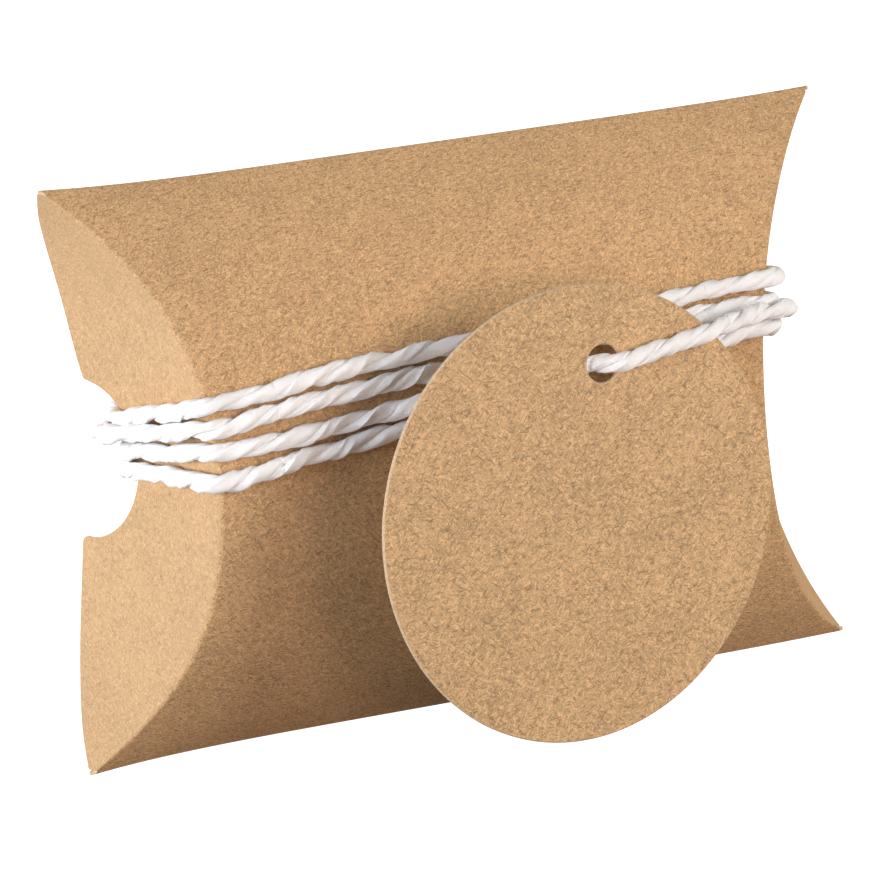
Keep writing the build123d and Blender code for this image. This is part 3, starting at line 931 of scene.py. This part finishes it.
def cut_edge_material(name, colour):
    """Cut edge of the card, paler and layered."""
    edge = Finish(name)
    grain = edge.noise(edge.place(), 3200, detail=4, roughness=0.7)
    layers = edge.ramp(grain, low=0.35, high=0.65)
    result = edge.tint(shade(colour, 0.80), layers, shade(colour, 1.18))
    edge.surface(result, roughness=0.92, gloss=0.15)
    edge.emboss(grain, strength=0.4, depth=0.08 * MM)


def twine_material(colour):
    """Bleached paper twine: long creases, faint warm tints and fine grain."""
    twine = Finish("Paper twine")
    stretch = twine.nodes.new("ShaderNodeMapping")
    stretch.inputs["Scale"].default_value = (2.2, 9.0, 1.0)
    twine.links.new(twine.place("UV"), stretch.inputs["Vector"])
    creases = twine.noise(stretch.outputs["Vector"], 4.0, detail=4, roughness=0.65)
    fine = twine.noise(twine.place(), 1900, detail=3, roughness=0.6)
    warm = (colour[0] * 0.92, colour[1] * 0.80, colour[2] * 0.72, 1.0)
    folds = twine.ramp(creases, low=0.42, high=0.30, light=0.5)
    result = twine.tint(shade(colour, 1.04), folds, warm)
    pores = twine.ramp(fine, low=0.40, high=0.28, light=0.25)
    result = twine.tint(result, pores, shade(colour, 0.82))
    twine.surface(result, roughness=0.62, gloss=0.35)
    twine.emboss(twine.combine("ADD", creases, fine), strength=0.5, depth=0.18 * MM)


def glue_material(colour):
    """Dried glue film, uneven and slightly glossy."""
    glue = Finish("Dried glue")
    smear = glue.noise(glue.place(), 400, detail=3, roughness=0.6)
    uneven = glue.ramp(smear, low=0.35, high=0.65)
    result = glue.tint(shade(colour, 0.85), uneven, shade(colour, 1.1))
    glue.surface(result, roughness=0.4, gloss=0.5)
    glue.emboss(smear, strength=0.3, depth=0.1 * MM)


class SCENE_OT_materials(bpy.types.Operator):
    """Make the card, cut edge, twine and glue materials"""

    bl_idname = "pillow_box.materials"
    bl_label = "Materials"

    def execute(self, context):
        finishes = context.scene.pillow_finishes
        kraft_material("Kraft card", tuple(finishes.kraft), 1.0)
        kraft_material("Flap card", tuple(finishes.kraft), 0.55, end_facing=True)
        kraft_material("Tag card", tuple(finishes.tag_kraft), 1.1)
        cut_edge_material("Kraft cut edge", tuple(finishes.cut_edge))
        cut_edge_material("Tag cut edge", tuple(finishes.tag_edge))
        twine_material(tuple(finishes.twine))
        glue_material(tuple(finishes.glue))
        return {"FINISHED"}


class SCENE_OT_glued_seam(bpy.types.Operator):
    """Finish the glued tab and its film of glue inside the top fold"""

    bl_idname = "pillow_box.glued_seam"
    bl_label = "Glued seam"

    def execute(self, context):
        for node, name in (("glue_tab", "Kraft card"), ("glue_line", "Dried glue")):
            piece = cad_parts[node]
            piece.data.materials.clear()
            piece.data.materials.append(material_named(name))
        return {"FINISHED"}


def show_camera(nodes, links, plain, shown, output):
    """Let one shader light the scene while the camera sees another."""
    path = nodes.new("ShaderNodeLightPath")
    seen = nodes.new("ShaderNodeMixShader")
    links.new(path.outputs["Is Camera Ray"], seen.inputs[0])
    links.new(plain.outputs[0], seen.inputs[1])
    links.new(shown.outputs[0], seen.inputs[2])
    links.new(seen.outputs[0], nodes[output].inputs["Surface"])


# Lamps: name, place in metres, size, power and colour
LAMPS = (
    ("key", (0.56, -0.67, 0.33), 0.42, 4.85, (0.98, 1.0, 0.98)),
    ("left_side", (-0.80, -0.12, 0.04), 0.60, 13.0, (0.95, 1.03, 1.17)),
    ("low_front", (0.20, -1.00, 0.06), 0.40, 2.9, (1.0, 0.74, 0.68)),
    ("back", (0.22, 0.84, 0.50), 0.70, 6.5, (1.0, 1.0, 1.0)),
)
LAMP_TARGET = (0, 0, 32 * MM)

# The floor lies just under the box's sprung corners
FLOOR_SIZE, FLOOR_HEIGHT = 6, -1.0 * MM
FLOOR_COLOUR, ROOM_LIGHT = (0.34, 0.31, 0.29, 1), 0.22

# Camera fitted to the photograph, with its focal length and its frame in pixels
CAMERA_AZIMUTH, CAMERA_ELEVATION, CAMERA_ROLL = radians(21.8), radians(13.6), radians(-3.8)
CAMERA_TARGET, CAMERA_DISTANCE = (-1.6 * MM, 0, 30.8 * MM), 674 * MM
FOCAL_PIXELS, FRAME_PIXELS, SENSOR_WIDTH = 6000, 880, 36


class SCENE_OT_stage(bpy.types.Operator):
    """Make the floor, the lamps, the world and the camera"""

    bl_idname = "pillow_box.stage"
    bl_label = "Stage"

    def execute(self, context):
        self.floor()
        self.lamps(context)
        self.world(context)
        self.camera(context)
        context.scene.view_settings.view_transform = "Standard"
        return {"FINISHED"}

    def floor(self):
        """Make a floor that the camera sees as white and that throws back less light."""
        deselect()
        bpy.ops.mesh.primitive_plane_add(size=FLOOR_SIZE, location=(0, 0, FLOOR_HEIGHT))
        floor = bpy.context.active_object
        floor.name = "floor"
        paint = Finish("White floor")
        paint.shader.inputs["Base Color"].default_value = FLOOR_COLOUR
        paint.shader.inputs["Roughness"].default_value = 0.9
        glow = paint.nodes.new("ShaderNodeEmission")
        glow.inputs["Strength"].default_value = 1.0
        both = paint.nodes.new("ShaderNodeAddShader")
        paint.links.new(paint.shader.outputs[0], both.inputs[0])
        paint.links.new(glow.outputs[0], both.inputs[1])
        show_camera(paint.nodes, paint.links, paint.shader, both, "Material Output")
        floor.data.materials.append(paint.material)

    def lamps(self, context):
        """Make the soft round lamps, all turned to the box."""
        target = Vector(LAMP_TARGET)
        for name, place, size, power, colour in LAMPS:
            light = bpy.data.lights.new(name, "AREA")
            light.shape = "DISK"
            light.size = size
            light.energy = power
            light.color = colour
            lamp = bpy.data.objects.new(name, light)
            lamp.location = place
            lamp.rotation_euler = (target - Vector(place)).to_track_quat("-Z", "Y").to_euler()
            context.scene.collection.objects.link(lamp)

    def world(self, context):
        """Make a white room that the camera sees brighter than its light is."""
        world = bpy.data.worlds.new("White room")
        context.scene.world = world
        world.use_nodes = True
        nodes, links = world.node_tree.nodes, world.node_tree.links
        plain = nodes["Background"]
        plain.inputs["Color"].default_value = (1, 1, 1, 1)
        plain.inputs["Strength"].default_value = ROOM_LIGHT
        white = nodes.new("ShaderNodeBackground")
        white.inputs["Strength"].default_value = 1.0
        show_camera(nodes, links, plain, white, "World Output")

    def camera(self, context):
        """Make the camera at the photograph's angle."""
        across = cos(CAMERA_ELEVATION)
        toward = Vector(
            (-sin(CAMERA_AZIMUTH) * across, -cos(CAMERA_AZIMUTH) * across, sin(CAMERA_ELEVATION))
        )
        right = (-toward).cross(Vector((0, 0, 1))).normalized()
        up = right.cross(-toward)
        tilted_right = cos(CAMERA_ROLL) * right + sin(CAMERA_ROLL) * up
        tilted_up = -sin(CAMERA_ROLL) * right + cos(CAMERA_ROLL) * up
        lens = bpy.data.cameras.new("camera")
        lens.sensor_width = SENSOR_WIDTH
        lens.lens = FOCAL_PIXELS / FRAME_PIXELS * SENSOR_WIDTH
        lens.clip_start = 0.01
        lens.clip_end = 20
        camera = bpy.data.objects.new("camera", lens)
        turn = Matrix((tilted_right, tilted_up, toward)).transposed()
        place = Vector(CAMERA_TARGET) + toward * CAMERA_DISTANCE
        camera.matrix_world = Matrix.Translation(place) @ turn.to_4x4()
        context.scene.collection.objects.link(camera)
        context.scene.camera = camera


class SCENE_PT_pillow_box(bpy.types.Panel):
    """Sizes, finishes and pieces of the pillow box"""

    bl_label = "Pillow Box"
    bl_space_type = "VIEW_3D"
    bl_region_type = "UI"
    bl_category = "Pillow Box"

    def draw(self, context):
        for group in ("pillow_box", "pillow_tag", "pillow_twine", "pillow_finishes"):
            settings = getattr(context.scene, group)
            box = self.layout.box()
            for name in settings.bl_rna.properties.keys():
                if name not in ("rna_type", "name"):
                    box.prop(settings, name)
        for operator in OPERATORS:
            self.layout.operator(operator.bl_idname)


OPERATORS = (
    SCENE_OT_materials,
    SCENE_OT_sleeve,
    SCENE_OT_outer_flaps,
    SCENE_OT_inner_flaps,
    SCENE_OT_glued_seam,
    SCENE_OT_tag,
    SCENE_OT_twine,
    SCENE_OT_stage,
)
GROUPS = {
    "pillow_box": PillowBoxSizes,
    "pillow_tag": TagSizes,
    "pillow_twine": TwineSizes,
    "pillow_finishes": BoxFinishes,
}


def register():
    """Register the add-on's classes and settings."""
    for name, group in GROUPS.items():
        bpy.utils.register_class(group)
        setattr(bpy.types.Scene, name, PointerProperty(type=group))
    for operator in OPERATORS:
        bpy.utils.register_class(operator)
    bpy.utils.register_class(SCENE_PT_pillow_box)


def unregister():
    """Take the add-on's classes and settings away."""
    bpy.utils.unregister_class(SCENE_PT_pillow_box)
    for operator in reversed(OPERATORS):
        bpy.utils.unregister_class(operator)
    for name, group in GROUPS.items():
        delattr(bpy.types.Scene, name)
        bpy.utils.unregister_class(group)


def main():
    """Make every piece in order."""
    register()
    bpy.ops.pillow_box.materials()
    bpy.ops.pillow_box.sleeve()
    bpy.ops.pillow_box.outer_flaps()
    bpy.ops.pillow_box.inner_flaps()
    bpy.ops.pillow_box.glued_seam()
    bpy.ops.pillow_box.tag()
    bpy.ops.pillow_box.twine()
    bpy.ops.pillow_box.stage()


if __name__ == "__main__":
    main()
